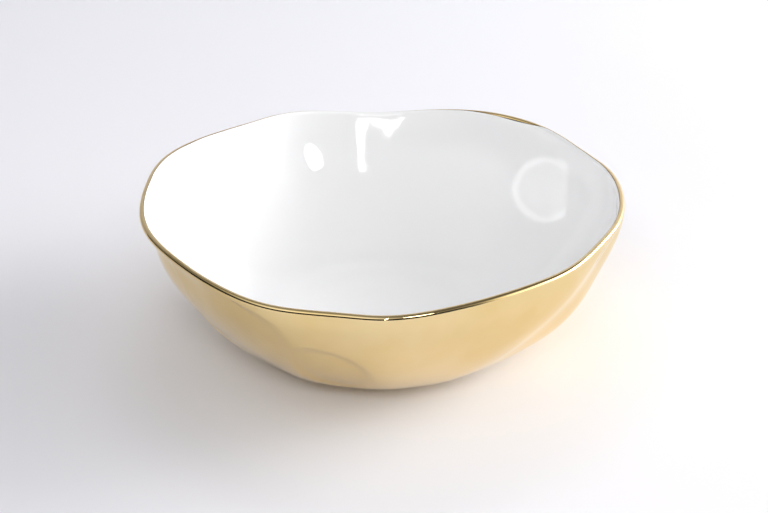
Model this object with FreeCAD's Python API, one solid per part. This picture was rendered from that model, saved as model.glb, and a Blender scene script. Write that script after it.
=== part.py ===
import FreeCAD, Part
import math
import os

# A hand-shaped porcelain serving bowl: white glaze inside, mirror gold outside and over the lip.
# Millimetres and degrees. +Z is up, the foot's resting face lies on Z = 0, and plan angles run
# anticlockwise from +X, seen from above.

# Driving dimensions
HEIGHT = 95.0            # resting face to the top of the lip, before its rise and fall
LIP_THICKNESS = 4.4      # wall at the lip, which is rounded over
FLOOR_THICKNESS = 6.0    # wall at the foot and across the floor
FOOT_HEIGHT = 5.0
FOOT_RADIUS = 60.0       # where the coats on the outside end, against the foot ring
FLOOR_DISH = 0.8         # how far the middle of the floor lies below its edge

# Coats. Real ones are far thinner, and are built up here so that each is a solid.
GOLD_THICKNESS = 0.15
COAT_THICKNESS = 0.45    # all that lies over the clay on either side

# The lip's middle line in plan: (angle, radius, rise). The rim was pinched by hand into
# soft corners with nearly straight runs between them, and it is pressed down at the back.
RIM = [
    (0, 151.2, 0.0),
    (14, 153.0, 0.2),
    (27, 150.8, -0.3),
    (46, 157.4, 0.0),
    (62, 155.4, 0.3),
    (77, 147.4, -1.4),
    (91, 142.8, -3.6),
    (104, 146.4, -1.8),
    (116, 151.2, 0.0),
    (129, 147.8, 0.0),
    (156, 154.8, 0.0),
    (175, 149.5, 0.0),
    (199, 149.9, 0.0),
    (217, 147.2, 0.0),
    (232, 150.2, 0.0),
    (246, 155.2, 0.0),
    (261, 152.0, 0.0),
    (272, 155.2, 0.0),
    (284, 149.6, 0.0),
    (302, 145.4, 0.0),
    (317, 146.8, 0.0),
    (332, 145.2, 0.0),
    (346, 149.0, 0.0),
]
RIM_RADIUS = 150.0       # the round rim that the list above departs from
RIM_SHIFT = (-1.3, 5.3)  # how far the middle of that round stands off the foot's middle
SHIFT_POWER = 1.6        # the higher, the nearer to the lip the wall makes that shift
RISE_POWER = 2           # the same for the rim's rise

# The outer wall's section: a cubic curve from the flat underside up to the lip.
WALL_START = 70.0        # radius where the underside begins to turn up
WALL_HANDLE_LOW = 38.0   # length of the curve's level handle at the underside
WALL_HANDLE_HIGH = 27.0  # length of its upright handle at the lip
WALL_FLARE = 1.2         # how far the wall opens out over that handle

# Where the wall was pressed in, or out where the depth is negative: (angle, place up the wall
# from 0 to 1, depth, half width in degrees, half height as a share of the wall).
DENTS = [
    (199, 0.89, 4.2, 46, 0.15),
    (329, 0.58, -4.8, 12, 0.42),
]

# The inside of the floor, from the wall in to its flat middle: (radius, share of the floor's dish).
# The last two, past the middle's edge, only keep the curve level there.
FLOOR_CURVE = [(56, 0.25), (46, 0.6), (36, 1.0), (30, 1.0), (24, 1.0), (18, 1.0)]

# How finely the wall is shaped
COLUMNS = 48             # control columns round the bowl
WALL_STATIONS = 11       # control stations up the wall, each side
LIP_STATIONS = 7         # control stations over the lip, between the two sides
GOLD_OVER_LIP = 6        # how many of those steps the gold reaches over the lip

# Foot ring, a plain turned ring, and the glazed recess that it encloses
RING_TOP_OUTER = 59.6
RING_TOP_INNER = 51.0
RING_FACE_OUTER = 56.6   # the bare resting face lies between these two radii
RING_FACE_INNER = 53.2
RING_ROUNDING = 1.0      # how far the resting face's edges are turned up
RECESS_GLAZE = 0.4
RECESS_FILLET = 1.6      # where that glaze climbs the ring's inner side
FILLET_IN = 0.45         # the fillet's middle, in from the ring and down from the glaze, as shares of it
FILLET_DOWN = 0.22


def lip_at(angle):
    """Radius and rise of the lip's middle line, smooth through the points of RIM."""
    count = len(RIM)
    angle = angle % 360.0
    after = next((i for i, point in enumerate(RIM) if point[0] > angle), count)

    def point(index):
        turns, place = divmod(index, count)
        return (RIM[place][0] + 360.0 * turns,) + RIM[place][1:]

    before_last, last, following, next_following = (point(after + step) for step in (-2, -1, 0, 1))
    span = following[0] - last[0]
    share = (angle - last[0]) / span
    blend = (
        2 * share ** 3 - 3 * share ** 2 + 1,
        share ** 3 - 2 * share ** 2 + share,
        3 * share ** 2 - 2 * share ** 3,
        share ** 3 - share ** 2,
    )
    values = []
    for item in (1, 2):
        slope_last = (following[item] - before_last[item]) / (following[0] - before_last[0])
        slope_next = (next_following[item] - last[item]) / (next_following[0] - last[0])
        ends = (last[item], slope_last * span, following[item], slope_next * span)
        values.append(sum(weight * end for weight, end in zip(blend, ends)))
    return values


def wall_point(share):
    """Point on the outer wall's section and its outward normal, from the underside (0) to the lip (1)."""
    lip_radius = RIM_RADIUS + LIP_THICKNESS / 2
    lip_start = HEIGHT - LIP_THICKNESS / 2
    handles = [
        (WALL_START, FOOT_HEIGHT),
        (WALL_START + WALL_HANDLE_LOW, FOOT_HEIGHT),
        (lip_radius - WALL_FLARE, lip_start - WALL_HANDLE_HIGH),
        (lip_radius, lip_start),
    ]
    rest = 1 - share
    weights = (rest ** 3, 3 * rest ** 2 * share, 3 * rest * share ** 2, share ** 3)
    steps = (rest ** 2, 2 * rest * share, share ** 2)
    radius, height = (sum(w * h[axis] for w, h in zip(weights, handles)) for axis in (0, 1))
    along = [
        sum(s * (b[axis] - a[axis]) for s, a, b in zip(steps, handles, handles[1:]))
        for axis in (0, 1)
    ]
    length = math.hypot(*along)
    return radius, height, along[1] / length, -along[0] / length


def section():
    """Stations from under the foot's edge, up the outside, over the lip and down to the floor's middle.

    Each is (share of the wall, radius, height, outward normal's radius and height parts). The first
    and last only guide the curve's ends: the surface runs from the second to the last but one.
    """
    stations = []
    pitch = WALL_START - FOOT_RADIUS
    for radius in (FOOT_RADIUS - pitch, FOOT_RADIUS):
        stations.append((0.0, radius, FOOT_HEIGHT, 0.0, -1.0))
    # the stations crowd together towards the lip, whose curve is tight
    shares = [math.sin(math.pi / 2 * i / (WALL_STATIONS - 1)) for i in range(WALL_STATIONS)]
    walls = [(share,) + wall_point(share) for share in shares]
    stations += walls
    radius, height = walls[-1][1:3]
    half = LIP_THICKNESS / 2
    for step in range(1, LIP_STATIONS + 1):
        turn = math.pi * step / (LIP_STATIONS + 1)
        across, up = math.cos(turn), math.sin(turn)
        stations.append((1.0, radius - half + half * across, height + half * up, across, up))
    for share, radius, height, across, up in reversed(walls):
        thickness = FLOOR_THICKNESS + (LIP_THICKNESS - FLOOR_THICKNESS) * share
        inner_radius = radius - thickness * across
        inner_height = height - thickness * up
        stations.append((share, inner_radius, inner_height, -across, -up))
    floor = FOOT_HEIGHT + FLOOR_THICKNESS
    for radius, drop in FLOOR_CURVE:
        stations.append((0.0, radius, floor - FLOOR_DISH * drop, 0.0, 1.0))
    return stations


SECTION = section()
FIRST = 1                                     # the outside's edge, against the foot ring
LIP_OUTSIDE = FIRST + WALL_STATIONS           # where the gold wall becomes the gold lip
GOLD_EDGE = LIP_OUTSIDE + GOLD_OVER_LIP       # where the gold ends and the white begins
LAST = len(SECTION) - 2                       # the edge of the flat middle of the floor


def placed(angle, share, radius, height):
    """Where a station lies at a plan angle, once the rim's corners and the dents are worked in."""
    lip_radius, lip_rise = lip_at(angle)
    radius *= 1 + math.sin(math.pi / 2 * share) * (lip_radius / RIM_RADIUS - 1)
    height += lip_rise * share ** RISE_POWER
    across, up = wall_point(share)[2:]
    for dent_angle, dent_share, depth, half_width, half_height in DENTS:
        turn = (angle - dent_angle + 180) % 360 - 180
        reach = (turn / half_width) ** 2 + ((share - dent_share) / half_height) ** 2
        push = depth * max(0.0, 1 - reach) ** 2
        radius -= push * across
        height -= push * up
    x = radius * math.cos(math.radians(angle)) + RIM_SHIFT[0] * share ** SHIFT_POWER
    y = radius * math.sin(math.radians(angle)) + RIM_SHIFT[1] * share ** SHIFT_POWER
    return x, y, height


def pole_net(depth):
    """Control points of the whole surface at a depth under the finished one, one row a station."""
    step = 360.0 / COLUMNS
    widen = 3 / (2 + math.cos(math.radians(step)))   # a cubic curve runs inside its control points
    rows = []
    for share, radius, height, across, up in SECTION:
        radius = (radius - depth * across) * widen
        height -= depth * up
        rows.append([FreeCAD.Vector(*placed(step * i, share, radius, height)) for i in range(COLUMNS)])
    return rows


# From here on, the solids that this surface bounds
NETS = {depth: pole_net(depth) for depth in (0.0, GOLD_THICKNESS, COAT_THICKNESS)}


def edge_row(depth, station):
    """Control points of the surface's line round the bowl at a station."""
    rows = NETS[depth][station - 1:station + 2]
    return [(before + here * 4 + after) * (1 / 6) for before, here, after in zip(*rows)]


def leaning_row(depth, station, towards):
    """Control points one place in from that line, towards the next station on one side."""
    rows = NETS[depth][station], NETS[depth][towards]
    return [(here * 2 + there) * (1 / 3) for here, there in zip(*rows)]


def ring_face(rows, degree):
    """Face through control rows that each close round the bowl."""
    surface = Part.BSplineSurface()
    inner_knots = len(rows) - degree - 1
    surface.buildFromPolesMultsKnots(
        [list(column) for column in zip(*rows)],
        [1] * (COLUMNS + 1),
        [degree + 1] + [1] * inner_knots + [degree + 1],
        list(range(COLUMNS + 1)),
        list(range(inner_knots + 2)),
        True,
        False,
        3,
        degree,
    )
    return surface.toShape()


def band(depth, first, last):
    """The surface at a depth, exactly from one station to another."""
    start = [edge_row(depth, first), leaning_row(depth, first, first + 1)]
    end = [leaning_row(depth, last, last - 1), edge_row(depth, last)]
    return ring_face(start + NETS[depth][first + 1:last] + end, 3)


def collar(station, outer_depth, inner_depth):
    """The narrow face that ends a coat at a station."""
    return ring_face([edge_row(outer_depth, station), edge_row(inner_depth, station)], 1)


def flat_disc(depth, station):
    """The flat face inside the surface's line at a station."""
    curve = Part.BSplineCurve()
    curve.buildFromPolesMultsKnots(
        edge_row(depth, station), [1] * (COLUMNS + 1), list(range(COLUMNS + 1)), True, 3
    )
    return Part.Face(Part.Wire([curve.toShape()]))


def closed(faces):
    """One solid bounded by faces that meet edge to edge."""
    shell = Part.Compound(faces)
    shell.sewShape()
    solid = Part.Solid(shell.Shells[0])
    if solid.Volume < 0:
        solid.reverse()
    return solid


def coat(outer_depth, inner_depth, first, last):
    """A coat round the bowl between two stations and two depths."""
    return closed([
        band(outer_depth, first, last),
        band(inner_depth, first, last),
        collar(first, outer_depth, inner_depth),
        collar(last, outer_depth, inner_depth),
    ])


def porcelain_body():
    """The fired clay: wall and floor in one, with a flat underside for the foot ring and the recess."""
    return closed([
        band(COAT_THICKNESS, FIRST, LAST),
        flat_disc(COAT_THICKNESS, LAST),
        collar(FIRST, 0.0, COAT_THICKNESS),
        flat_disc(0.0, FIRST),
    ])


def interior_glaze():
    """The white glaze over the whole inside, up to the gold on the lip."""
    return closed([
        band(0.0, GOLD_EDGE, LAST),
        flat_disc(0.0, LAST),
        band(COAT_THICKNESS, GOLD_EDGE, LAST),
        flat_disc(COAT_THICKNESS, LAST),
        collar(GOLD_EDGE, 0.0, COAT_THICKNESS),
    ])


def exterior_glaze():
    """The glossy coat that the gold is laid on, from the foot ring over the lip."""
    return coat(GOLD_THICKNESS, COAT_THICKNESS, FIRST, GOLD_EDGE)


def gold_coat():
    """The mirror gold on the outside wall."""
    return coat(0.0, GOLD_THICKNESS, FIRST, LIP_OUTSIDE)


def rim_band():
    """The gold brushed over the lip."""
    return coat(0.0, GOLD_THICKNESS, LIP_OUTSIDE, GOLD_EDGE)


def turned(edges):
    """The solid swept once round the bowl's upright axis by a closed outline of edges."""
    face = Part.Face(Part.Wire(edges))
    return face.revolve(FreeCAD.Vector(), FreeCAD.Vector(0, 0, 1), 360)


def at(radius, height):
    return FreeCAD.Vector(radius, 0, height)


def foot_ring():
    """The ring that the bowl stands on: a bare resting face with turned-up edges and sloped sides."""
    inner_turn = at(RING_FACE_INNER - RING_ROUNDING, RING_ROUNDING)
    outer_turn = at(RING_FACE_OUTER + RING_ROUNDING, RING_ROUNDING)
    inner_face, outer_face = at(RING_FACE_INNER, 0), at(RING_FACE_OUTER, 0)
    inner_top, outer_top = at(RING_TOP_INNER, FOOT_HEIGHT), at(RING_TOP_OUTER, FOOT_HEIGHT)
    away = RING_ROUNDING * (1 - math.sqrt(0.5))
    inner_arc = Part.Arc(inner_turn, at(inner_turn.x + away, away), inner_face)
    outer_arc = Part.Arc(outer_face, at(outer_turn.x - away, away), outer_turn)
    return turned([
        Part.LineSegment(inner_top, inner_turn).toShape(),
        inner_arc.toShape(),
        Part.LineSegment(inner_face, outer_face).toShape(),
        outer_arc.toShape(),
        Part.LineSegment(outer_turn, outer_top).toShape(),
        Part.LineSegment(outer_top, inner_top).toShape(),
    ])


def base_glaze():
    """The white glaze in the recess under the bowl, plain, climbing the ring a little at its edge."""
    below = FOOT_HEIGHT - RECESS_GLAZE
    slope = (RING_FACE_INNER - RING_ROUNDING - RING_TOP_INNER) / (FOOT_HEIGHT - RING_ROUNDING)
    foot = at(RING_TOP_INNER + slope * RECESS_FILLET, FOOT_HEIGHT - RECESS_FILLET)
    corner = at(RING_TOP_INNER, FOOT_HEIGHT)
    start = at(RING_TOP_INNER - RECESS_FILLET, below)
    bow = at(RING_TOP_INNER - FILLET_IN * RECESS_FILLET, below - FILLET_DOWN * RECESS_FILLET)
    return turned([
        Part.LineSegment(at(0, FOOT_HEIGHT), corner).toShape(),
        Part.LineSegment(corner, foot).toShape(),
        Part.Arc(foot, bow, start).toShape(),
        Part.LineSegment(start, at(0, below)).toShape(),
        Part.LineSegment(at(0, below), at(0, FOOT_HEIGHT)).toShape(),
    ])


NODES = {
    "porcelain_body": porcelain_body,
    "foot_ring": foot_ring,
    "base_glaze": base_glaze,
    "interior_glaze": interior_glaze,
    "exterior_glaze": exterior_glaze,
    "gold_coat": gold_coat,
    "rim_band": rim_band,
}

os.makedirs("parts", exist_ok=True)
for name, make in NODES.items():
    solid = make()
    solid.exportStep("parts/" + name + ".step")
    state = "valid" if solid.isValid() else "NOT VALID"
    print(name, state, round(solid.Volume, 1), "cubic mm", solid.BoundBox)
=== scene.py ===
import math

import bpy
import numpy as np
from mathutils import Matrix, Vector


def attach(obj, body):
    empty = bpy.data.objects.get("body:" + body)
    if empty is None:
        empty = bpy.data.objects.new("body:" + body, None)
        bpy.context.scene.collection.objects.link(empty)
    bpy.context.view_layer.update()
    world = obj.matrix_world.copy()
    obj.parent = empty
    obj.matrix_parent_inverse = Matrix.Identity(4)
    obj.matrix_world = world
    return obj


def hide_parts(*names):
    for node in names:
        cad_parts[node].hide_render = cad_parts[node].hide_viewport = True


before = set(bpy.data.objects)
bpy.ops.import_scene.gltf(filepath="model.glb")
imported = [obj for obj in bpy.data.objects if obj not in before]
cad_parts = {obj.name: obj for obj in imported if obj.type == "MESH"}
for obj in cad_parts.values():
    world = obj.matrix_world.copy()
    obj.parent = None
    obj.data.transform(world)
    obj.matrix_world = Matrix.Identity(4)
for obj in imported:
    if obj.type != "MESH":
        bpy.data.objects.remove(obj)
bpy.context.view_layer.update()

# A hand-shaped porcelain serving bowl, white inside and mirror gold outside and over the lip.
# The bowl's own sizes are in millimetres and degrees, as in the CAD model. Scene sizes are in metres.
# Plan angles run anticlockwise from +X, seen from above.

MM = 0.001

# ---- the bowl's shape, as the CAD model makes it ----
HEIGHT = 95.0            # resting face to the top of the lip, before its rise and fall
LIP_THICKNESS = 4.4
FLOOR_THICKNESS = 6.0
FOOT_HEIGHT = 5.0
FOOT_RADIUS = 60.0       # where the coats on the outside end, against the foot ring
FLOOR_DISH = 0.8         # how far the middle of the floor lies below its edge
GOLD_THICKNESS = 0.15
COAT_THICKNESS = 0.45    # all that lies over the clay on either side

# The lip's middle line in plan: (angle, radius, rise)
RIM = [
    (0, 151.2, 0.0),
    (14, 153.0, 0.2),
    (27, 150.8, -0.3),
    (46, 157.4, 0.0),
    (62, 155.4, 0.3),
    (77, 147.4, -1.4),
    (91, 142.8, -3.6),
    (104, 146.4, -1.8),
    (116, 151.2, 0.0),
    (129, 147.8, 0.0),
    (156, 154.8, 0.0),
    (175, 149.5, 0.0),
    (199, 149.9, 0.0),
    (217, 147.2, 0.0),
    (232, 150.2, 0.0),
    (246, 155.2, 0.0),
    (261, 152.0, 0.0),
    (272, 155.2, 0.0),
    (284, 149.6, 0.0),
    (302, 145.4, 0.0),
    (317, 146.8, 0.0),
    (332, 145.2, 0.0),
    (346, 149.0, 0.0),
]
RIM_RADIUS = 150.0       # the round rim that the list above departs from
RIM_SHIFT = (-1.3, 5.3)  # how far the middle of that round stands off the foot's middle
SHIFT_POWER = 1.6        # the higher, the nearer to the lip the wall makes that shift
RISE_POWER = 2           # the same for the rim's rise

# The outer wall's section: a cubic curve from the flat underside up to the lip
WALL_START = 70.0        # radius where the underside begins to turn up
WALL_HANDLE_LOW = 38.0   # length of the curve's level handle at the underside
WALL_HANDLE_HIGH = 27.0  # length of its upright handle at the lip
WALL_FLARE = 1.2         # how far the wall opens out over that handle

# Where the wall was pressed in, or out where the depth is negative: (angle, place up the wall
# from 0 to 1, depth, half width in degrees, half height as a share of the wall)
DENTS = [
    (199, 0.89, 4.2, 46, 0.15),
    (329, 0.58, -4.8, 12, 0.42),
]

# The inside of the floor, from the wall in to its flat middle: (radius, share of the floor's dish)
FLOOR_CURVE = [(56, 0.25), (46, 0.6), (36, 1.0), (30, 1.0), (24, 1.0), (18, 1.0)]

COLUMNS = 48             # control columns round the bowl
WALL_STATIONS = 11       # control stations up the wall, each side
LIP_STATIONS = 7         # control stations over the lip, between the two sides


def lip_at(angle):
    """Radius and rise of the lip's middle line, smooth through the points of RIM."""
    count = len(RIM)
    angle = angle % 360.0
    after = next((i for i, point in enumerate(RIM) if point[0] > angle), count)

    def point(index):
        turns, place = divmod(index, count)
        return (RIM[place][0] + 360.0 * turns,) + RIM[place][1:]

    before_last, last, following, next_following = (point(after + step) for step in (-2, -1, 0, 1))
    span = following[0] - last[0]
    share = (angle - last[0]) / span
    blend = (
        2 * share ** 3 - 3 * share ** 2 + 1,
        share ** 3 - 2 * share ** 2 + share,
        3 * share ** 2 - 2 * share ** 3,
        share ** 3 - share ** 2,
    )
    values = []
    for item in (1, 2):
        slope_last = (following[item] - before_last[item]) / (following[0] - before_last[0])
        slope_next = (next_following[item] - last[item]) / (next_following[0] - last[0])
        ends = (last[item], slope_last * span, following[item], slope_next * span)
        values.append(sum(weight * end for weight, end in zip(blend, ends)))
    return values


def wall_point(share):
    """Point on the outer wall's section and its outward normal, from the underside (0) to the lip (1)."""
    lip_radius = RIM_RADIUS + LIP_THICKNESS / 2
    lip_start = HEIGHT - LIP_THICKNESS / 2
    handles = [
        (WALL_START, FOOT_HEIGHT),
        (WALL_START + WALL_HANDLE_LOW, FOOT_HEIGHT),
        (lip_radius - WALL_FLARE, lip_start - WALL_HANDLE_HIGH),
        (lip_radius, lip_start),
    ]
    rest = 1 - share
    weights = (rest ** 3, 3 * rest ** 2 * share, 3 * rest * share ** 2, share ** 3)
    steps = (rest ** 2, 2 * rest * share, share ** 2)
    radius, height = (sum(w * h[axis] for w, h in zip(weights, handles)) for axis in (0, 1))
    along = [
        sum(s * (b[axis] - a[axis]) for s, a, b in zip(steps, handles, handles[1:]))
        for axis in (0, 1)
    ]
    length = math.hypot(*along)
    return radius, height, along[1] / length, -along[0] / length


def section():
    """Stations from under the foot's edge, up the outside, over the lip and down to the floor's middle.

    Each is its share of the way up the wall, its radius and height, and its outward normal.
    """
    stations = []
    pitch = WALL_START - FOOT_RADIUS
    for radius in (FOOT_RADIUS - pitch, FOOT_RADIUS):
        stations.append((0.0, radius, FOOT_HEIGHT, 0.0, -1.0))
    shares = [math.sin(math.pi / 2 * i / (WALL_STATIONS - 1)) for i in range(WALL_STATIONS)]
    walls = [(share,) + wall_point(share) for share in shares]
    stations += walls
    radius, height = walls[-1][1:3]
    half = LIP_THICKNESS / 2
    for step in range(1, LIP_STATIONS + 1):
        turn = math.pi * step / (LIP_STATIONS + 1)
        across, up = math.cos(turn), math.sin(turn)
        stations.append((1.0, radius - half + half * across, height + half * up, across, up))
    for share, radius, height, across, up in reversed(walls):
        thickness = FLOOR_THICKNESS + (LIP_THICKNESS - FLOOR_THICKNESS) * share
        stations.append((share, radius - thickness * across, height - thickness * up, -across, -up))
    floor = FOOT_HEIGHT + FLOOR_THICKNESS
    for radius, drop in FLOOR_CURVE:
        stations.append((0.0, radius, floor - FLOOR_DISH * drop, 0.0, 1.0))
    return stations


SECTION = section()
FIRST = 1
LIP_OUTSIDE = FIRST + WALL_STATIONS          # the station where the outside wall meets the lip
LAST = len(SECTION) - 2


def placed(angle, share, radius, height):
    """Where a station lies at a plan angle, once the rim's corners and the dents are worked in."""
    lip_radius, lip_rise = lip_at(angle)
    radius *= 1 + math.sin(math.pi / 2 * share) * (lip_radius / RIM_RADIUS - 1)
    height += lip_rise * share ** RISE_POWER
    across, up = wall_point(share)[2:]
    for dent_angle, dent_share, depth, half_width, half_height in DENTS:
        turn = (angle - dent_angle + 180) % 360 - 180
        reach = (turn / half_width) ** 2 + ((share - dent_share) / half_height) ** 2
        push = depth * max(0.0, 1 - reach) ** 2
        radius -= push * across
        height -= push * up
    x = radius * math.cos(math.radians(angle)) + RIM_SHIFT[0] * share ** SHIFT_POWER
    y = radius * math.sin(math.radians(angle)) + RIM_SHIFT[1] * share ** SHIFT_POWER
    return x, y, height


def pole_net(depth):
    """Control points of the whole surface at a depth under the finished one, in metres."""
    step = 360.0 / COLUMNS
    widen = 3 / (2 + math.cos(math.radians(step)))
    net = []
    for share, radius, height, across, up in SECTION:
        radius = (radius - depth * across) * widen
        height -= depth * up
        net.append([placed(step * i, share, radius, height) for i in range(COLUMNS)])
    return np.array(net) * MM


NETS = {depth: pole_net(depth) for depth in (0.0, GOLD_THICKNESS, COAT_THICKNESS)}


# ---- the hand's marks, finer than the CAD model has them ----
ROUND = 384              # mesh columns round the bowl
ANGLES = np.arange(ROUND) * 360 / ROUND
LIP_STEP = 180 / (LIP_STATIONS + 1)          # degrees of turn over the lip from one station to the next
LIP_TOP = LIP_OUTSIDE + (LIP_STATIONS + 1) / 2

# Marks, which add up: (angle, station, rise in mm or a negative depth, half width in degrees, half
# height in stations, lean in degrees a station, share of the way to the middle that the edge takes)
MARKS = [
    (286, 8.9, -0.3, 5, 1.0, 0.0, 1.0),
    (306, 6.8, 1.1, 13, 5.0, 5.0, 1.0),
]
# Hollows pressed into the outside wall, where the deepest counts: the same, with a depth for the rise.
# A short edge leaves a flat middle and a crease where two of them meet.
HOLLOWS = [
    (198, 8.0, 1.7, 22, 4.0, -1.5, 0.35),
    (229, 7.7, 1.5, 22, 4.2, -1.0, 0.25),
    (257, 5.6, 1.5, 11.5, 2.0, -1.5, 0.35),
    (330, 8.3, 1.6, 11, 5.5, 5.5, 1.0),
]
# How far past the lip's top the gold was brushed, in degrees of turn over it: (plan angle, turn)
BRUSHED = [
    (0, 38),
    (13, 32),
    (24, 8),
    (43, 5),
    (48, 62),
    (53, 90),
    (59, 62),
    (66, 28),
    (74, 12),
    (84, 0),
    (92, -12),
    (110, -2),
    (125, 12),
    (150, 28),
    (180, 22),
    (215, 40),
    (270, 50),
    (330, 42),
]
BRUSH_WIDTH = 9          # mesh columns over which the brush smooths that line, an odd number
BRUSH_WANDER = 3.0       # degrees of turn that the edge wanders either way on the way round
WANDER_WAVES = ((17, 0), (29, 2), (43, 4))   # the waves it is made of: (waves round the bowl, phase)
THIN_EDGE = 1.0          # stations over which the gold thins out towards that edge


def smoothed(value):
    """A value held between 0 and 1, and eased at both ends."""
    value = np.clip(value, 0, 1)
    return value * value * (3 - 2 * value)


def pushed(mark, angle, station):
    """How much of a mark's rise or depth a place has: all in its middle, none at its rim and beyond."""
    at_angle, at_station, size, half_width, half_height, lean, edge = mark
    up = station - at_station
    turn = (angle - at_angle - lean * up + 180) % 360 - 180
    inside = 1 - np.hypot(turn / half_width, up / half_height)
    return size * smoothed(inside / edge)


def relief(angle, station):
    """How far the marks raise the surface and the hollows lower it, in millimetres."""
    raised = sum(pushed(mark, angle, station) for mark in MARKS)
    pressed = np.max([pushed(hollow, angle, station) for hollow in HOLLOWS], axis=0)
    return raised - pressed


def gold_edge():
    """The station at which the gold ends over the lip, for every column."""
    angles, turns = zip(*BRUSHED)
    turn = np.interp(ANGLES, angles, turns, period=360)
    brush = np.hanning(BRUSH_WIDTH)
    turn = np.pad(turn, BRUSH_WIDTH // 2, mode="wrap")
    turn = np.convolve(turn, brush / brush.sum(), "valid")
    around = np.radians(ANGLES)
    waves = sum(np.sin(count * around + phase) for count, phase in WANDER_WAVES)
    turn += BRUSH_WANDER * waves / len(WANDER_WAVES)
    return LIP_TOP + turn / LIP_STEP


# ---- meshes made from that shape ----
SHARP_ANGLE = 40.0       # degrees between two faces from which their edge is drawn sharp
NEARBY = 1e-3            # stations either side of a point that its slope is taken over


def spline_weights(t):
    """How much each of four control points in a row counts, a share t of the way from the second."""
    weights = (
        (1 - t) ** 3,
        3 * t ** 3 - 6 * t ** 2 + 4,
        -3 * t ** 3 + 3 * t ** 2 + 3 * t + 1,
        t ** 3,
    )
    return np.stack(weights) / 6


def smooth_grid(depth, stations):
    """Points of the CAD surface at a depth, for a row of stations for each column."""
    net = NETS[depth]
    turns = np.arange(ROUND) * COLUMNS / ROUND
    low = np.floor(turns).astype(int)
    weights = spline_weights(turns - low)
    rows = sum(weights[k][:, None] * net[:, (low - 1 + k) % COLUMNS] for k in range(4))
    low = np.clip(np.floor(stations).astype(int), 1, len(net) - 3)
    weights = spline_weights(stations - low)
    return sum(weights[k][..., None] * rows[low - 1 + k, np.arange(ROUND)] for k in range(4))


def grid(depth, stations):
    """Rings of points of the finished surface at a depth, at one station each or at a row of them."""
    stations = np.asarray(stations, float)
    if stations.ndim == 1:
        stations = np.repeat(stations[:, None], ROUND, 1)
    here = smooth_grid(depth, stations)
    up = smooth_grid(depth, stations + NEARBY) - smooth_grid(depth, stations - NEARBY)
    around = np.roll(here, -1, 1) - np.roll(here, 1, 1)
    normals = np.cross(around, up)
    normals /= np.linalg.norm(normals, axis=2, keepdims=True)
    return here + normals * relief(ANGLES, stations)[..., None] * MM


def between(first, last, count):
    """Rows of stations from one to another. Either may be a row of them, one for each column."""
    share = np.linspace(0, 1, count)[:, None]
    return (1 - share) * (first + 0 * ANGLES) + share * (last + 0 * ANGLES)


def filled(ring, count):
    """Rings that fill in a flat outline towards its middle."""
    middle = ring.mean(0)
    return [middle + (ring - middle) * (1 - step / count) for step in range(1, count)]


def ringed(name, rings, ends_meet):
    """A closed mesh through rings of points, whose last meets its first, or whose ends close to a point.

    The rings run anticlockwise in the section, as the wall does from its foot, over the lip and inside.
    """
    rings = np.array(rings)
    rows = len(rings)
    points = rings.reshape(-1, 3)
    column = np.arange(ROUND)
    following = (column + 1) % ROUND
    start = np.arange(rows if ends_meet else rows - 1)[:, None] * ROUND
    after = (start + ROUND) % (rows * ROUND)
    faces = np.stack([start + column, start + following, after + following, after + column], -1)
    faces = faces.reshape(-1, 4).tolist()
    if not ends_meet:
        points = np.concatenate([points, [rings[0].mean(0), rings[-1].mean(0)]])
        first, last = len(points) - 2, len(points) - 1
        top = (rows - 1) * ROUND
        faces += np.stack([following, column, first + 0 * column], -1).tolist()
        faces += np.stack([top + column, top + following, last + 0 * column], -1).tolist()
    mesh = bpy.data.meshes.new(name)
    mesh.from_pydata(points.tolist(), [], faces)
    mesh.update()
    mesh.shade_smooth()
    mesh.set_sharp_from_angle(angle=math.radians(SHARP_ANGLE))
    made = bpy.data.objects.new(name, mesh)
    bpy.context.scene.collection.objects.link(made)
    return made


def coat(name, outer_depth, inner_depth, stations):
    """A coat between two depths that ends in a narrow edge at both stations."""
    outer, inner = grid(outer_depth, stations), grid(inner_depth, stations)
    return ringed(name, np.concatenate([outer, inner[::-1]]), True)


# ---- materials ----
GOLD_DEEP = (0.81, 0.61, 0.285)
GOLD_PALE = (0.86, 0.67, 0.36)
GOLD_THIN = (0.31, 0.20, 0.09)       # the brown that shows where the coat is thin
GOLD_ROUGHNESS = (0.035, 0.06)       # least and most
THIN_ROUGHNESS = 0.16
GOLD_GRAIN = 0.000001                # metres, as are the other heights of bumps
GLAZE_COLOUR = (0.93, 0.93, 0.93)
GLAZE_COOLER = (0.99, 0.99, 1.0)     # share of that colour left in the cooler drifts
PINHOLE_SHADE = 0.86                 # share of it left in a pinhole
GLAZE_ROUGHNESS = (0.02, 0.045)
GLAZE_IOR = 1.52
PEEL = 0.00003                       # metres of the glaze's orange peel, which shows in the gold too
CLAY_COOL = (0.80, 0.785, 0.75)
CLAY_WARM = (0.84, 0.80, 0.735)
CLAY_SPECK = (0.50, 0.44, 0.38)
CLAY_ROUGHNESS = (0.55, 0.75)
SANDING = 0.00004
CLAY_GRAIN = 0.00005
# Noise values taken as low and high: a gentle swing, a stronger one, and where pinholes start to show
SWING = (0.3, 0.7)
STRONG_SWING = (0.35, 0.65)
PINHOLE_PATCHES = (0.66, 0.68)
# Sockets of the mix node's colour kind, several of which share a name
MIX_SHARE, MIX_FIRST, MIX_SECOND, MIX_RESULT = 0, 6, 7, 2


def principled(name, **settings):
    """A new material and its shader, with some sockets set to plain values."""
    material = bpy.data.materials.new(name)
    material.use_nodes = True
    shader = material.node_tree.nodes["Principled BSDF"]
    for key, value in settings.items():
        shader.inputs[key.replace("_", " ")].default_value = value
    return material, shader


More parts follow.
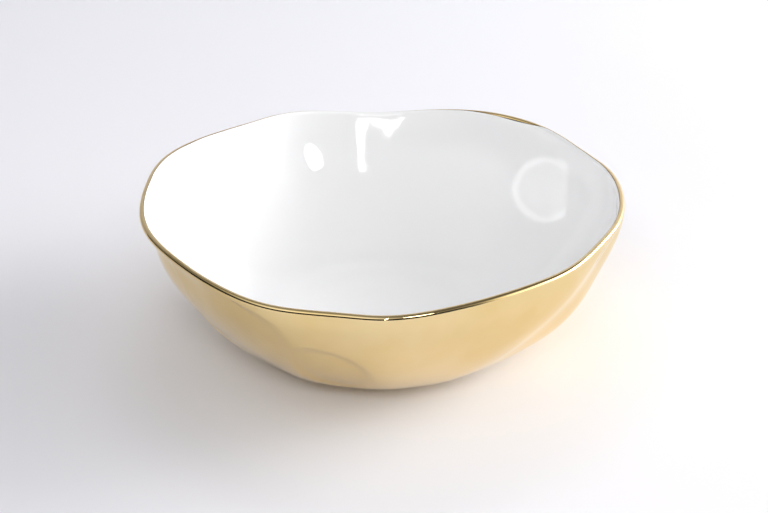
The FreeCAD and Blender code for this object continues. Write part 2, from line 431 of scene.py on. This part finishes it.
class Nodes:
    """Short calls for the nodes of a material, a light or the world."""

    def __init__(self, owner):
        self.tree = owner.node_tree
        self.places = self.add("ShaderNodeTexCoord").outputs

    def feed(self, socket, value):
        """Link a node's output to a socket, or set the socket to a plain value."""
        if isinstance(value, bpy.types.NodeSocket):
            self.tree.links.new(value, socket)
        else:
            socket.default_value = value

    def add(self, kind, **inputs):
        """A new node with some of its sockets fed."""
        node = self.tree.nodes.new(kind)
        self.join(node, **inputs)
        return node

    def join(self, node, **values):
        """Feed some sockets of a node that is there already."""
        for key, value in values.items():
            self.feed(node.inputs[key.replace("_", " ")], value)

    def operate(self, kind, operation, *values):
        """The outputs of a maths node of either kind, with its sockets fed in their order."""
        node = self.add(kind)
        node.operation = operation
        for socket, value in zip(node.inputs, values):
            self.feed(socket, value)
        return node.outputs

    def maths(self, operation, *values):
        """The result of some maths."""
        return self.operate("ShaderNodeMath", operation, *values)["Value"]

    def vectors(self, operation, *values):
        """The outputs of some vector maths: Vector, or Value for a length or a dot product."""
        return self.operate("ShaderNodeVectorMath", operation, *values)

    def noise(self, scale, detail, stretch=(1, 1, 1)):
        """Noise from 0 to 1, whose features are about 1 / scale metres across."""
        places = self.add("ShaderNodeMapping", Vector=self.places["Object"], Scale=stretch).outputs[0]
        return self.add("ShaderNodeTexNoise", Vector=places, Scale=scale, Detail=detail).outputs["Fac"]

    def dots(self, scale, radius, fade):
        """Scattered dots, 1 inside and 0 past their fade, with radii as shares of their spacing."""
        cells = self.add("ShaderNodeTexVoronoi", Vector=self.places["Object"], Scale=scale)
        return self.spread(cells.outputs["Distance"], radius, fade, 1.0, 0.0)

    def spread(self, value, low, high, start=0.0, end=1.0, kind="LINEAR"):
        """A value from low to high, brought to the range from start to end."""
        node = self.add("ShaderNodeMapRange", Value=value)
        self.join(node, From_Min=low, From_Max=high, To_Min=start, To_Max=end)
        node.interpolation_type = kind
        return node.outputs["Result"]

    def levels(self, value, low, high, stops):
        """Smooth steps from level to level, for a value from low to high: stops are (value, level)."""
        ramp = self.add("ShaderNodeValToRGB", Fac=self.spread(value, low, high))
        ramp.color_ramp.interpolation = "EASE"
        marks = ramp.color_ramp.elements
        marks.remove(marks[1])   # a new ramp has two
        for number, (place, level) in enumerate(stops):
            position = (place - low) / (high - low)
            mark = marks.new(position) if number else marks[0]
            mark.position = position
            mark.color = (level, level, level, 1)
        return ramp.outputs["Color"]

    def mix(self, share, first, second):
        """Two colours mixed, by the share of the second."""
        node = self.add("ShaderNodeMix")
        node.data_type = "RGBA"
        self.feed(node.inputs[MIX_SHARE], share)
        for place, colour in ((MIX_FIRST, first), (MIX_SECOND, second)):
            self.feed(node.inputs[place], (*colour, 1) if isinstance(colour, tuple) else colour)
        return node.outputs[MIX_RESULT]

    def bump(self, height, distance, under=None):
        """A normal bent by a height from 0 to 1, over a distance in metres, on top of another normal."""
        node = self.add("ShaderNodeBump", Height=height, Distance=distance, Strength=1.0)
        if under is not None:
            self.join(node, Normal=under)
        return node.outputs["Normal"]

    def attribute(self, name):
        """A number that the mesh keeps at each point."""
        node = self.add("ShaderNodeAttribute")
        node.attribute_name = name
        return node.outputs["Fac"]


def gold_material(name, thins=False):
    """Fired bright gold: a mirror with the glaze's faint peel in it, redder and duller in drifts.

    Where it thins out towards its painted edge, the brown of a thin coat shows.
    """
    material, shader = principled(name, Metallic=1.0)
    nodes = Nodes(material)
    drift = nodes.spread(nodes.noise(scale=22, detail=3.0), *STRONG_SWING)
    colour = nodes.mix(drift, GOLD_DEEP, GOLD_PALE)
    streaks = nodes.noise(scale=60, detail=4.0, stretch=(1, 1, 0.4))
    haze = nodes.spread(streaks, *SWING, *GOLD_ROUGHNESS)
    if thins:
        thin = nodes.attribute("thin")
        colour = nodes.mix(thin, colour, GOLD_THIN)
        haze = nodes.spread(thin, 0.0, 1.0, haze, THIN_ROUGHNESS)
    peel = nodes.bump(nodes.noise(scale=150, detail=1.0), PEEL)
    grain = nodes.bump(nodes.noise(scale=1400, detail=2.0), GOLD_GRAIN, peel)
    nodes.join(shader, Base_Color=colour, Roughness=haze, Normal=grain)
    return material


def glaze_material(name):
    """White gloss glaze: a faint orange peel, slow drifts in tone, and a fine scatter of pinholes."""
    material, shader = principled(name, IOR=GLAZE_IOR)
    nodes = Nodes(material)
    drift = nodes.spread(nodes.noise(scale=18, detail=3.0), *SWING)
    cooler = tuple(part * share for part, share in zip(GLAZE_COLOUR, GLAZE_COOLER))
    tone = nodes.mix(drift, cooler, GLAZE_COLOUR)
    pinholes = nodes.dots(scale=260.0, radius=0.03, fade=0.05)
    few = nodes.spread(nodes.noise(scale=75, detail=0.0), *PINHOLE_PATCHES)
    shaded = tuple(part * PINHOLE_SHADE for part in GLAZE_COLOUR)
    tone = nodes.mix(nodes.maths("MULTIPLY", pinholes, few), tone, shaded)
    haze = nodes.spread(nodes.noise(scale=45, detail=3.0), *SWING, *GLAZE_ROUGHNESS)
    peel = nodes.bump(nodes.noise(scale=110, detail=1.0), PEEL)
    nodes.join(shader, Base_Color=tone, Roughness=haze, Normal=peel)
    return material


def clay_material(name):
    """Bare fired porcelain: matt, sanded smooth, with a fine grain and a few dark specks."""
    material, shader = principled(name)
    nodes = Nodes(material)
    warmth = nodes.spread(nodes.noise(scale=70, detail=5.0), *STRONG_SWING)
    colour = nodes.mix(warmth, CLAY_COOL, CLAY_WARM)
    specks = nodes.dots(scale=900.0, radius=0.06, fade=0.12)
    colour = nodes.mix(specks, colour, CLAY_SPECK)
    haze = nodes.spread(nodes.noise(scale=500, detail=2.0), *SWING, *CLAY_ROUGHNESS)
    sanded = nodes.bump(nodes.noise(scale=500, detail=1.0, stretch=(1, 1, 4)), SANDING)
    grain = nodes.bump(nodes.noise(scale=3500, detail=3.0), CLAY_GRAIN, sanded)
    nodes.join(shader, Base_Color=colour, Roughness=haze, Normal=grain)
    return material


GOLD = gold_material("mirror_gold")
LIP_GOLD = gold_material("brushed_gold", thins=True)
WHITE = glaze_material("white_glaze")
CLAY = clay_material("bare_porcelain")


# ---- the pieces: rows of mesh points along each, and rings that close a flat middle ----
WALL_ROWS = 100
LIP_ROWS = 40
UNDER_GOLD_ROWS = 90
INSIDE_ROWS = 80
CLAY_ROWS = 170
MIDDLE_RINGS = 8
EDGE = gold_edge()


def finish_piece(piece, slot, material, *nodes):
    """Give a piece its material, attach it to the root body that it rides on, and hide the CAD nodes it
    stands for.
    """
    piece.data.materials.append(material)
    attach(piece, "root")
    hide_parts(*nodes)


def gold_wall():
    wall = coat("gold_wall", 0.0, GOLD_THICKNESS, between(FIRST, LIP_OUTSIDE, WALL_ROWS))
    finish_piece(wall, "mirror_gold", GOLD, "gold_coat")


def gold_lip():
    """The gold over the lip, which keeps how thin it is at each point for its material."""
    stations = between(LIP_OUTSIDE, EDGE, LIP_ROWS)
    lip = coat("gold_lip", 0.0, GOLD_THICKNESS, stations)
    thin = smoothed(1 - (EDGE - stations) / THIN_EDGE)
    note = lip.data.attributes.new("thin", "FLOAT", "POINT")
    note.data.foreach_set("value", np.concatenate([thin, thin[::-1]]).ravel().astype(np.float32))
    finish_piece(lip, "rim_gold", LIP_GOLD, "rim_band")


def glaze_under_gold():
    stations = between(FIRST, EDGE, UNDER_GOLD_ROWS)
    under_gold = coat("glaze_under_gold", GOLD_THICKNESS, COAT_THICKNESS, stations)
    finish_piece(under_gold, "under_glaze", WHITE, "exterior_glaze")


def white_inside():
    stations = between(EDGE, LAST, INSIDE_ROWS)
    top, bottom = grid(0.0, stations), grid(COAT_THICKNESS, stations)
    rings = filled(bottom[-1], MIDDLE_RINGS)[::-1] + list(bottom[::-1])
    rings += list(top) + filled(top[-1], MIDDLE_RINGS)
    inside = ringed("white_inside", rings, False)
    finish_piece(inside, "white_glaze", WHITE, "interior_glaze")


def porcelain_wall():
    skin = grid(COAT_THICKNESS, np.linspace(FIRST, LAST, CLAY_ROWS))
    base = grid(0.0, [FIRST])[0]
    rings = filled(base, MIDDLE_RINGS)[::-1] + [base]
    rings += list(skin) + filled(skin[-1], MIDDLE_RINGS)
    clay = ringed("porcelain_wall", rings, False)
    finish_piece(clay, "porcelain", CLAY, "porcelain_body")


def kept_cad_pieces():
    """The foot ring and the glaze inside it keep their CAD meshes, and only get their materials."""
    for node, material in (("foot_ring", CLAY), ("base_glaze", WHITE)):
        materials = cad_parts[node].data.materials
        materials.clear()
        materials.append(material)


gold_wall()
gold_lip()
glaze_under_gold()
white_inside()
porcelain_wall()
kept_cad_pieces()


# ---- floor, light and camera ----
FLOOR_COLOUR = (0.86, 0.86, 0.905)
FLOOR_ROUGHNESS = 0.9
FLOOR_HALF_WIDTH = 3.0
FLOOR_FRONT = -1.1
FLOOR_BACK = 1.4         # where the floor starts to curve up into the backdrop
COVE_RADIUS = 0.8
COVE_STEPS = 12
BACKDROP_TOP = 2.4

# Soft glows of the room: (azimuth, elevation, strength, power), each fading as that power of the cosine
GLOW = [
    (350, 8, 2.6, 8.0),
    (250, 38, 1.05, 5.0),
    (200, 30, 0.90, 4.0),
    (90, 60, 0.30, 6.0),
]
BACKGROUND = 0.85        # what the camera sees past the floor's edges
DARK_ROOM = 0.95         # how dark the room in front is low down
DARK_ROOM_AZIMUTH = 243  # the middle of that darkness
DARK_ROOM_SIDES = (-0.1, 0.2)    # cosines of the turn from that middle, where it starts and is full
DARK_ROOM_TOP = 0.50     # sine of the elevation up to which it is dark
DARK_ROOM_FADE = 0.16    # and how much further up it ends

# Soft lamps aimed at the bowl's middle: (name, azimuth, elevation, distance, size, watts)
KEY_AIM = Vector((0, 0, 0.06))
KEYS = [
    ("right_key", 21, 15, 3.4, (2.0, 1.2), 90),
    ("right_top", 8, 22, 1.7, (1.3, 0.8), 9),
]
# Fill lamps, which light the whites and the floor but don't show in reflections
FILL_DISTANCE = 1.7
FILL_SIZE = (0.9, 0.35)
FILLS = [                # (name, azimuth, elevation, watts)
    ("front_fill", 270, 35, 8.5),
    ("left_fill", 221, 8, 5.0),
    ("top_fill", 90, 60, 3.4),
]
# Two lamps that only show in reflections, as the highlights at the back inside the bowl
STRIP_PLACE = Vector((0.08, -1.29, 0.80))
STRIP_AIM = Vector((0, 0.14, 0.07))
STRIP_SIZE = (0.030, 1.1)
STRIP_ROLL = -4.2        # degrees
STRIP_WATTS = 1.2
DISC_PLACE = Vector((0.60, -0.91, 1.09))
DISC_AIM = Vector((-0.05, 0.13, 0.065))
DISC_SIZE = (0.43, 0.36)
DISC_WATTS = 3.1

# The ring of light on the inner right wall, thrown by a small lamp in front
RING_LAMP = Vector((0, -0.85, 0.50))
RING_MIDDLE = Vector((0.1115, 0.0850, 0.0605))
RING_ANGLE = math.radians(1.19)  # half the angle that the ring spans, seen from its lamp
RING_BEAM = 3 * RING_ANGLE       # the lamp's whole beam, wider than the ring
RING_WATTS = 12.0
RING_LAMP_RADIUS = 0.001
# Its levels from the middle out, where 1 is the ring's radius, and from its left side to its right
RING_LEVELS = ((0.0, 0.60), (0.40, 0.56), (0.76, 0.45), (0.94, 0.95), (1.14, 0.0))
RING_SIDES = ((-0.40, 0.85), (0.04, 0.80), (0.48, 1.2), (0.60, 1.1), (0.78, 0.1))

CAMERA_SENSOR = 36.0     # millimetres, as is the lens
CAMERA_LENS = 70.3
CAMERA_ELEVATION = math.radians(27.65)
CAMERA_DISTANCE = 0.966
CAMERA_AIM = Vector((0.0006, 0.0053, 0.0503))
CAMERA_FAR = 20.0        # how far it sees


def stage_floor():
    """A pale paper floor that curves up into a backdrop behind the bowl."""
    profile = [(FLOOR_FRONT, 0.0), (FLOOR_BACK, 0.0)]
    for i in range(1, COVE_STEPS + 1):
        turn = math.pi / 2 * i / COVE_STEPS
        back, down = COVE_RADIUS * math.sin(turn), COVE_RADIUS * math.cos(turn)
        profile.append((FLOOR_BACK + back, COVE_RADIUS - down))
    profile.append((FLOOR_BACK + COVE_RADIUS, BACKDROP_TOP))
    points = [(x, y, z) for y, z in profile for x in (-FLOOR_HALF_WIDTH, FLOOR_HALF_WIDTH)]
    faces = [(2 * i, 2 * i + 1, 2 * i + 3, 2 * i + 2) for i in range(len(profile) - 1)]
    mesh = bpy.data.meshes.new("floor")
    mesh.from_pydata(points, [], faces)
    mesh.shade_smooth()
    floor = bpy.data.objects.new("floor", mesh)
    bpy.context.scene.collection.objects.link(floor)
    paper = principled("paper_backdrop", Roughness=FLOOR_ROUGHNESS, Base_Color=(*FLOOR_COLOUR, 1))[0]
    floor.data.materials.append(paper)


def direction(azimuth, elevation):
    """The unit vector towards a place round the bowl, in degrees."""
    turn, rise = math.radians(azimuth), math.radians(elevation)
    return Vector((math.cos(rise) * math.cos(turn), math.cos(rise) * math.sin(turn), math.sin(rise)))


def world_light():
    """Soft light from all round, but for the dark room low in front that the gold lip mirrors."""
    world = bpy.data.worlds.new("studio")
    bpy.context.scene.world = world
    world.use_nodes = True
    nodes = Nodes(world)
    towards = nodes.places["Generated"]

    def facing(azimuth, elevation):
        return nodes.vectors("DOT_PRODUCT", towards, direction(azimuth, elevation))["Value"]

    total = 0.0
    for azimuth, elevation, strength, power in GLOW:
        lobe = nodes.maths("POWER", nodes.maths("MAXIMUM", facing(azimuth, elevation), 0.0), power)
        total = nodes.maths("ADD", total, nodes.maths("MULTIPLY", lobe, strength))
    height = nodes.add("ShaderNodeSeparateXYZ", Vector=towards).outputs["Z"]
    in_front = nodes.spread(facing(DARK_ROOM_AZIMUTH, 0), *DARK_ROOM_SIDES, kind="SMOOTHSTEP")
    low_down = nodes.spread(height, DARK_ROOM_TOP + DARK_ROOM_FADE, DARK_ROOM_TOP, kind="SMOOTHSTEP")
    dark = nodes.maths("MULTIPLY", nodes.maths("MULTIPLY", in_front, low_down), DARK_ROOM)
    lit = nodes.maths("MULTIPLY", total, nodes.maths("SUBTRACT", 1.0, dark))
    for_camera = nodes.add("ShaderNodeLightPath").outputs["Is Camera Ray"]
    plain = nodes.maths("MULTIPLY", for_camera, BACKGROUND)
    unseen = nodes.maths("MULTIPLY", lit, nodes.maths("SUBTRACT", 1.0, for_camera))
    strength = nodes.maths("ADD", plain, unseen)
    nodes.join(world.node_tree.nodes["Background"], Color=(1, 1, 1, 1), Strength=strength)


def lamp(name, kind, place, aim, watts):
    """A lamp of a kind at a place, turned towards another."""
    data = bpy.data.lights.new(name, kind)
    data.energy = watts
    light = bpy.data.objects.new(name, data)
    bpy.context.scene.collection.objects.link(light)
    light.location = place
    light.rotation_euler = (aim - place).to_track_quat("-Z", "Y").to_euler()
    return light


def area_light(name, place, aim, size, watts, shape="RECTANGLE"):
    light = lamp(name, "AREA", place, aim, watts)
    light.data.shape = shape
    light.data.size, light.data.size_y = size
    return light


def soft_lights():
    for name, azimuth, elevation, distance, size, watts in KEYS:
        area_light(name, KEY_AIM + distance * direction(azimuth, elevation), KEY_AIM, size, watts)
    for name, azimuth, elevation, watts in FILLS:
        place = KEY_AIM + FILL_DISTANCE * direction(azimuth, elevation)
        fill = area_light(name, place, KEY_AIM, FILL_SIZE, watts)
        fill.visible_glossy = False


def highlights():
    strip = area_light("front_strip", STRIP_PLACE, STRIP_AIM, STRIP_SIZE, STRIP_WATTS)
    strip.rotation_euler.rotate_axis("Z", math.radians(STRIP_ROLL))
    disc = area_light("front_disc", DISC_PLACE, DISC_AIM, DISC_SIZE, DISC_WATTS, shape="ELLIPSE")
    for highlight in (strip, disc):
        highlight.visible_diffuse = False


def ring_of_light():
    """The faint ring, open to the right, that a lamp in front throws on the inside of the right wall."""
    light = lamp("ring_lamp", "SPOT", RING_LAMP, RING_MIDDLE, RING_WATTS)
    light.data.spot_size = RING_BEAM
    light.data.shadow_soft_size = RING_LAMP_RADIUS
    light.visible_glossy = False
    light.data.use_nodes = True
    nodes = Nodes(light.data)
    widen = 1 / math.sin(RING_ANGLE)
    across = nodes.vectors("MULTIPLY", nodes.places["Normal"], (widen, widen, 0))["Vector"]
    radius = nodes.vectors("LENGTH", across)["Value"]
    side = nodes.add("ShaderNodeSeparateXYZ", Vector=across).outputs["X"]
    ring = nodes.levels(radius, 0.0, 2.0, RING_LEVELS)
    opening = nodes.levels(side, -1.0, 1.0, RING_SIDES)
    nodes.join(light.data.node_tree.nodes["Emission"], Strength=nodes.maths("MULTIPLY", ring, opening))


def camera():
    data = bpy.data.cameras.new("camera")
    data.sensor_width = CAMERA_SENSOR
    data.lens = CAMERA_LENS
    data.clip_end = CAMERA_FAR
    seen = bpy.data.objects.new("camera", data)
    bpy.context.scene.collection.objects.link(seen)
    towards = Vector((0, -math.cos(CAMERA_ELEVATION), math.sin(CAMERA_ELEVATION)))
    seen.location = CAMERA_AIM + CAMERA_DISTANCE * towards
    seen.rotation_euler = (math.pi / 2 - CAMERA_ELEVATION, 0, 0)
    bpy.context.scene.camera = seen


stage_floor()
world_light()
soft_lights()
highlights()
ring_of_light()
camera()
bpy.context.scene.view_settings.view_transform = "Standard"
